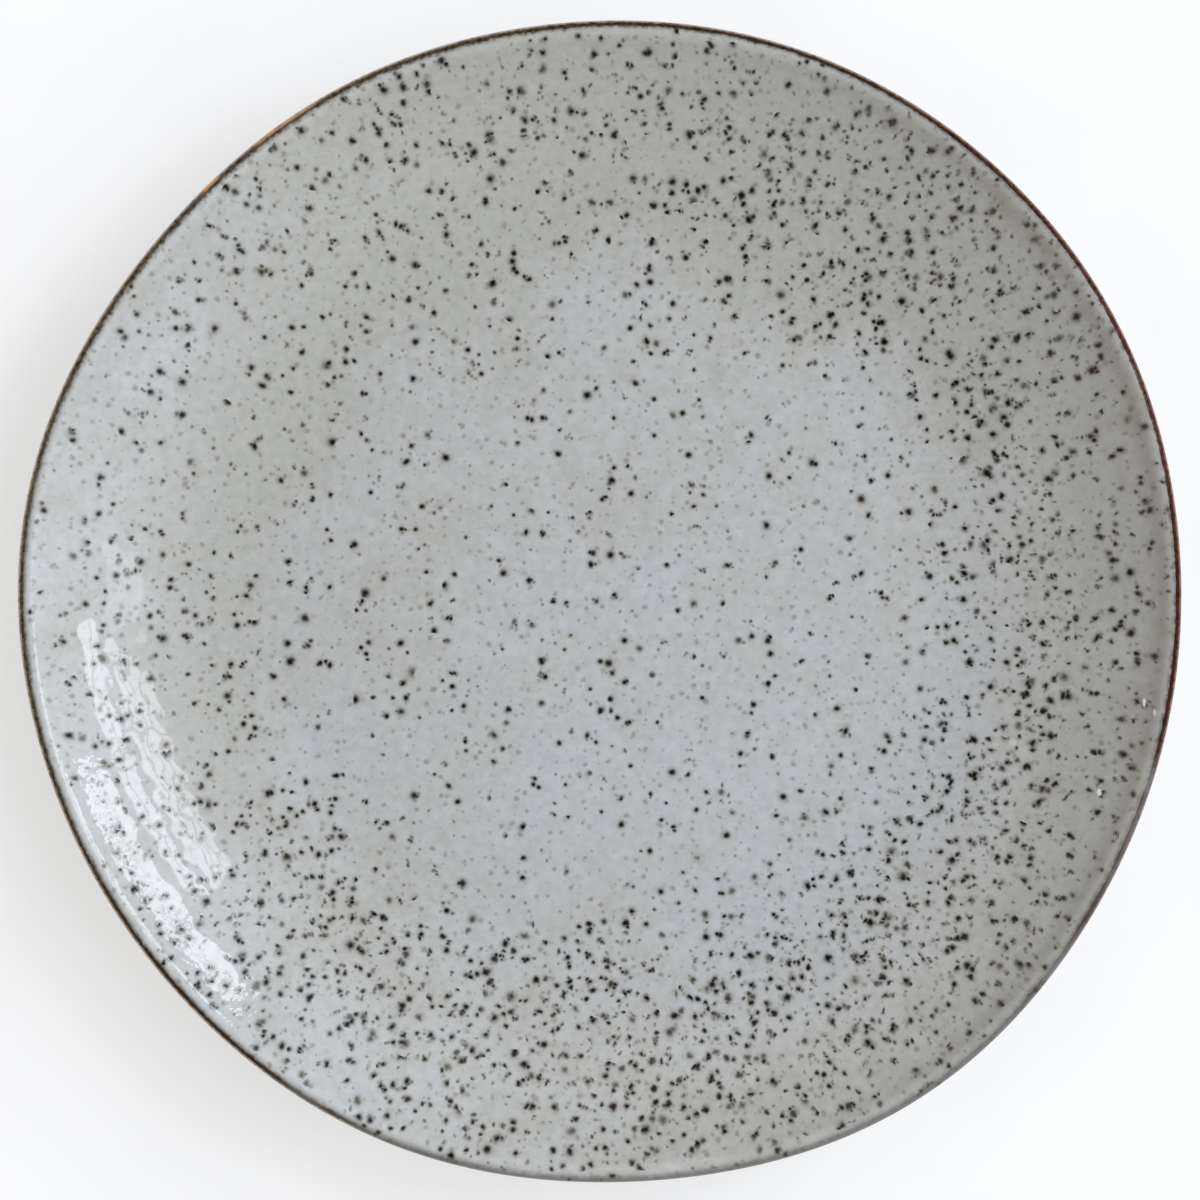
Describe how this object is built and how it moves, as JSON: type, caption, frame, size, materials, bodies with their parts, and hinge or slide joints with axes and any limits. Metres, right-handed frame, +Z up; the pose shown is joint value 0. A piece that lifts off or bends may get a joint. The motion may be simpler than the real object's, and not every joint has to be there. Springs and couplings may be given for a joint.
{
  "type": "coupe dinner plate",
  "caption": "Round stoneware coupe plate with an uneven edge, flat well, upswept wall and low foot ring, in speckled pale blue-grey glaze with an iron-brown rim, for serving a main course.",
  "frame": {"origin": "on the table under the middle of the well, at the centre of the foot ring's bearing face", "axes": "+Z up out of the well; +X to the right and +Y to the top of the plate as the picture shows it from straight above"},
  "size_m": [0.2739, 0.2735, 0.0309],
  "materials": {
    "stoneware": "bare fired clay, matt and slightly gritty",
    "speckled_glaze": "glossy pale blue-grey glaze with iron specks",
    "iron_rim": "glossy thin glaze broken to iron brown"
  },
  "bodies": {
    "root": {"stoneware_body": "stoneware", "foot_ring": "stoneware", "face_glaze": "speckled_glaze", "rim_band": "iron_rim", "underside_glaze": "speckled_glaze", "base_glaze": "speckled_glaze"}
  },
  "joints": []
}
